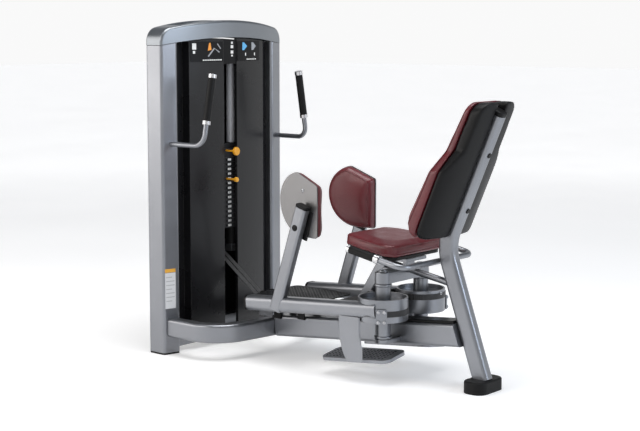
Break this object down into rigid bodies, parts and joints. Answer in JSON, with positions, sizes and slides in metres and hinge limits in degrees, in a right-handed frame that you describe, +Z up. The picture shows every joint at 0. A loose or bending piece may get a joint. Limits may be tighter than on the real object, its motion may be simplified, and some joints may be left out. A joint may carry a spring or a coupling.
{
  "type": "hip abduction machine",
  "caption": "Seated hip abduction machine: weight tower joined by an inclined beam to a tilted seat, back pad and pivoting thigh arms with foot rests.",
  "frame": {"origin": "floor level, centre of the footprint", "axes": "+Z up, -X towards the weight tower, -Y is the seated user's left"},
  "size_m": [1.652, 0.793, 1.5],
  "materials": {
    "frame_paint": "satin metallic grey",
    "cap_paint": "satin metallic grey",
    "shroud_black": "semi-gloss black",
    "trim_black": "fine texture",
    "pulley_black": "moulded",
    "placard_print": "printed panel",
    "upholstery": "dark red vinyl",
    "steel": "turned and plated",
    "plate_metal": "satin metallic grey",
    "bright_collar": "turned",
    "rubber_black": "moulded",
    "belt_black": "flat ribbed belt",
    "stack_iron": "black powder coat",
    "knob_yellow": "amber"
  },
  "bodies": {
    "frame": {"arm_belts": "belt_black", "back_cushion": "upholstery", "back_shell": "trim_black", "bow_tube": "frame_paint", "frame_brackets": "frame_paint", "frame_trim": "trim_black", "grip_collars": "bright_collar", "guide_rods": "steel", "hand_grips": "rubber_black", "left_tower_upright": "frame_paint", "main_beam": "frame_paint", "pivot_shafts": "steel", "pivot_yoke": "frame_paint", "placards": "placard_print", "rear_upright": "frame_paint", "resting_plates": "stack_iron", "right_tower_upright": "frame_paint", "rubber_feet": "rubber_black", "seat_board": "trim_black", "seat_cushion": "upholstery", "seat_post": "frame_paint", "seat_rail": "frame_paint", "stack_belt_drops": "belt_black", "stack_belts": "belt_black", "stack_bumpers": "rubber_black", "step_plate": "trim_black", "tower_cap": "cap_paint", "tower_crossmembers": "frame_paint", "tower_handles": "frame_paint", "tower_shrouds": "shroud_black"},
    "stack": {"stack_head": "stack_iron", "lifted_plates": "stack_iron"},
    "selector_pin": {"selector_pin": "knob_yellow"},
    "increment_knob": {"increment_knob": "knob_yellow"},
    "top_pulley": {"top_pulley": "pulley_black"},
    "rear_pulley": {"rear_pulley": "pulley_black"},
    "front_pulley": {"front_pulley": "pulley_black"},
    "left_idler": {"left_idler": "pulley_black"},
    "right_idler": {"right_idler": "pulley_black"},
    "yoke_block": {"yoke_block": "steel"},
    "left_arm": {"left_arm_tube": "frame_paint", "left_arm_post": "frame_paint", "left_arm_caps": "trim_black", "left_belt_drum": "frame_paint", "left_drum_band": "belt_black", "left_belt_clamp": "frame_paint", "left_knee_plate": "plate_metal", "left_knee_cushion": "upholstery", "left_knee_bracket": "trim_black", "left_footrest": "frame_paint"},
    "right_arm": {"right_arm_tube": "frame_paint", "right_arm_post": "frame_paint", "right_arm_caps": "trim_black", "right_belt_drum": "frame_paint", "right_drum_band": "belt_black", "right_belt_clamp": "frame_paint", "right_knee_plate": "plate_metal", "right_knee_cushion": "upholstery", "right_knee_bracket": "trim_black", "right_footrest": "frame_paint"}
  },
  "joints": [
    {"name": "left_arm_swing", "type": "hinge", "parent": "frame", "child": "left_arm", "pos_m": [0.326, -0.1327, 0.3], "axis": [0, 0, 1], "range_deg": [0, 55]},
    {"name": "right_arm_swing", "type": "hinge", "parent": "frame", "child": "right_arm", "pos_m": [0.326, 0.1327, 0.3], "axis": [0, 0, -1], "range_deg": [0, 55.5]},
    {"name": "stack_lift", "type": "slide", "parent": "frame", "child": "stack", "axis": [0, 0, 1], "range_m": [0, 0.1025], "deforming": ["stack_belt_drops"]},
    {"name": "yoke_block_travel", "type": "slide", "parent": "frame", "child": "yoke_block", "axis": [1, 0, 0], "range_m": [0, 0.1025], "deforming": ["arm_belts"]},
    {"name": "top_pulley_turn", "type": "hinge", "parent": "frame", "child": "top_pulley", "pos_m": [-0.765, 0, 1.3], "axis": [0, -1, 0], "range_deg": [0, 167.46]},
    {"name": "rear_pulley_turn", "type": "hinge", "parent": "frame", "child": "rear_pulley", "pos_m": [-0.772, 0, 0.488], "axis": [0, -1, 0], "range_deg": [0, 209.21]},
    {"name": "front_pulley_turn", "type": "hinge", "parent": "frame", "child": "front_pulley", "pos_m": [-0.436, 0, 0.245], "axis": [0, -1, 0], "range_deg": [0, 209.21]},
    {"name": "left_idler_turn", "type": "hinge", "parent": "frame", "child": "left_idler", "pos_m": [0.1956, -0.044, 0.334], "axis": [0, 0, 1], "range_deg": [0, 274.85]},
    {"name": "right_idler_turn", "type": "hinge", "parent": "frame", "child": "right_idler", "pos_m": [0.1956, 0.044, 0.301], "axis": [0, 0, -1], "range_deg": [0, 274.85]},
    {"name": "selector_pin_pull", "type": "slide", "parent": "stack", "child": "selector_pin", "axis": [1, 0, 0], "range_m": [0, 0.04]},
    {"name": "increment_knob_pull", "type": "slide", "parent": "stack", "child": "increment_knob", "axis": [1, 0, 0], "range_m": [0, 0.012], "stiffness_N_per_m": 300}
  ],
  "couplings": [
    {"joint": "right_arm_swing", "follows": "left_arm_swing", "ratio": 1},
    {"joint": "stack_lift", "follows": "left_arm_swing", "m_per_rad": 0.10625},
    {"joint": "yoke_block_travel", "follows": "left_arm_swing", "m_per_rad": 0.10625},
    {"joint": "top_pulley_turn", "follows": "left_arm_swing", "ratio": 3.0357},
    {"joint": "rear_pulley_turn", "follows": "left_arm_swing", "ratio": 3.7946},
    {"joint": "front_pulley_turn", "follows": "left_arm_swing", "ratio": 3.7946},
    {"joint": "left_idler_turn", "follows": "left_arm_swing", "ratio": 4.9883},
    {"joint": "right_idler_turn", "follows": "left_arm_swing", "ratio": 4.9883}
  ]
}
